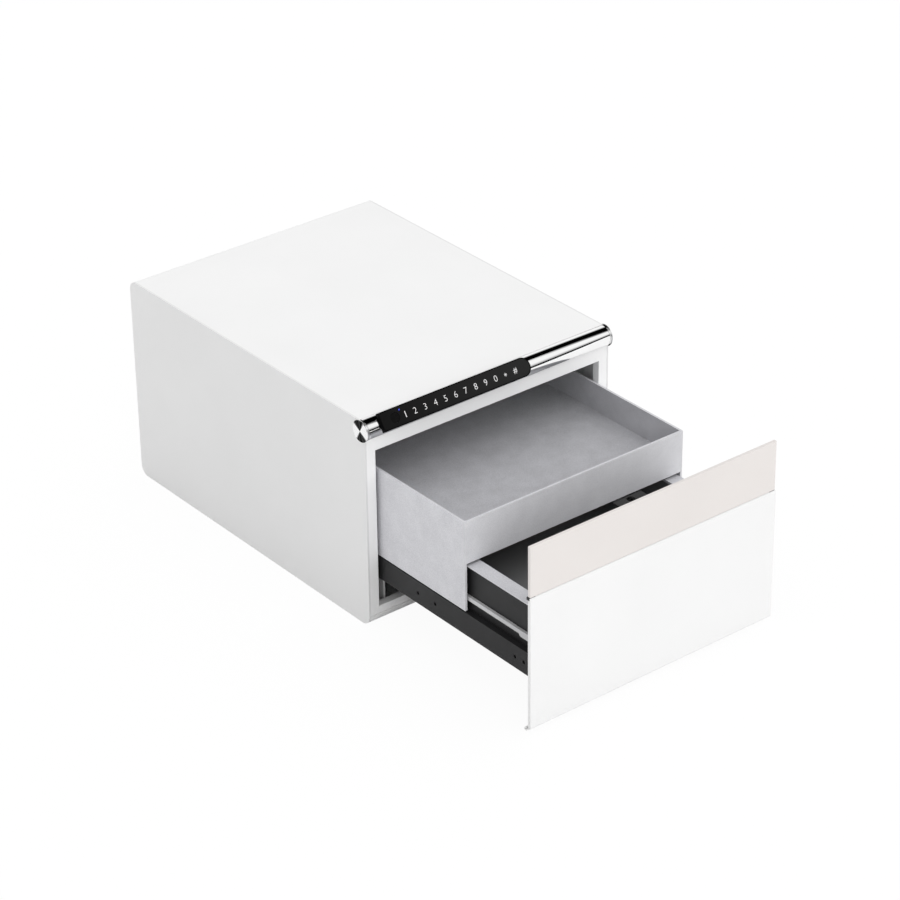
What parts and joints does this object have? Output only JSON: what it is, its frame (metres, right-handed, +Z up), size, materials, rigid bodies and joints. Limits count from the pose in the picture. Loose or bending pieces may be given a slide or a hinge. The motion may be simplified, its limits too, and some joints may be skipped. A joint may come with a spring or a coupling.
{
  "type": "mini safe",
  "caption": "Drawer-type mini safe: white steel body, chrome front tube with a touch keypad, and a pull-out drawer on ball-bearing slides with a sliding upper tray.",
  "frame": {"origin": "middle of the cabinet's underside: halfway across its width and halfway along the depth of its body", "axes": "+Z up, -Y out of the drawer front, +X toward the right as seen by a person facing the front"},
  "size_m": [0.3224, 0.6693, 0.2427],
  "materials": {
    "white_paint": "white powder coat, satin, very fine texture",
    "greige_paint": "warm light grey powder coat, matte",
    "silver_paint": "silver-grey powder coat with a fine speckle",
    "dark_paint": "charcoal powder coat, matte",
    "chrome": "polished chrome plate",
    "brushed_steel": "brushed steel",
    "zinc_steel": "zinc-plated steel",
    "black_gloss": "polished black touch panel with plain white digits",
    "black_plastic": "moulded black plastic, satin",
    "light_plastic": "light grey nylon, matte",
    "blue_lens": "clear blue plastic light lens",
    "board_green": "green circuit board lacquer",
    "cell_sleeve": "plain grey cell sleeve"
  },
  "bodies": {
    "cabinet": {"body_wrap": "white_paint", "side_panel_left": "white_paint", "side_panel_right": "white_paint", "front_frame": "white_paint", "tube_saddle": "white_paint", "chrome_tube": "chrome", "tube_end_cap_left": "brushed_steel", "tube_end_cap_right": "brushed_steel", "tube_screw_left": "zinc_steel", "tube_screw_right": "zinc_steel", "keypad_housing": "black_plastic", "keypad_circuit_board": "board_green", "keypad_glass": "black_gloss", "fingerprint_sensor": "black_plastic", "status_lens": "blue_lens", "keypad_cable": "black_plastic", "control_board": "board_green", "battery_case": "black_plastic", "battery_cover": "black_plastic", "battery_cell_1": "cell_sleeve", "battery_cell_2": "cell_sleeve", "battery_cell_3": "cell_sleeve", "battery_cell_4": "cell_sleeve", "lock_housing": "black_plastic", "bolt_guide": "brushed_steel", "lock_motor": "zinc_steel", "slide_bracket_left": "zinc_steel", "slide_bracket_right": "zinc_steel", "slide_outer_member_left": "dark_paint", "slide_outer_member_right": "dark_paint"},
    "drawer": {"front_panel": "white_paint", "fascia_strip": "greige_paint", "panel_backing": "dark_paint", "striker_plate": "zinc_steel", "lower_box": "dark_paint", "box_front_plate": "dark_paint", "box_rear_plate": "dark_paint", "panel_screw_1": "zinc_steel", "panel_screw_2": "zinc_steel", "panel_screw_3": "zinc_steel", "panel_screw_4": "zinc_steel", "box_rim_left": "silver_paint", "box_rim_right": "silver_paint", "guide_strip_left": "light_plastic", "guide_strip_right": "light_plastic", "drawer_rail_left": "dark_paint", "drawer_rail_right": "dark_paint", "slide_inner_member_left": "dark_paint", "slide_inner_member_right": "dark_paint"},
    "tray": {"tray": "silver_paint", "tray_runner_left": "light_plastic", "tray_runner_right": "light_plastic"},
    "ball_cages": {"ball_cage_left": "zinc_steel", "ball_cage_right": "zinc_steel"},
    "lock_bolt": {"lock_bolt": "brushed_steel"},
    "drive_pinion": {"drive_pinion": "brushed_steel"}
  },
  "joints": [
    {"name": "drawer_slide", "type": "slide", "parent": "cabinet", "child": "drawer", "axis": [0, -1, 0], "range_m": [-0.2455, 0]},
    {"name": "ball_cage_slide", "type": "slide", "parent": "cabinet", "child": "ball_cages", "axis": [0, -1, 0], "range_m": [-0.12275, 0]},
    {"name": "tray_slide", "type": "slide", "parent": "drawer", "child": "tray", "axis": [0, -1, 0], "range_m": [0, 0.1108]},
    {"name": "pinion_turn", "type": "hinge", "parent": "cabinet", "child": "drive_pinion", "pos_m": [0, -0.1719, 0.2175], "axis": [1, 0, 0], "range_deg": [0, 172]},
    {"name": "bolt_slide", "type": "slide", "parent": "cabinet", "child": "lock_bolt", "axis": [0, 0, -1], "range_m": [0, 0.012]}
  ],
  "couplings": [
    {"joint": "ball_cage_slide", "follows": "drawer_slide", "ratio": 0.5},
    {"joint": "pinion_turn", "follows": "bolt_slide", "rad_per_m": 250}
  ]
}
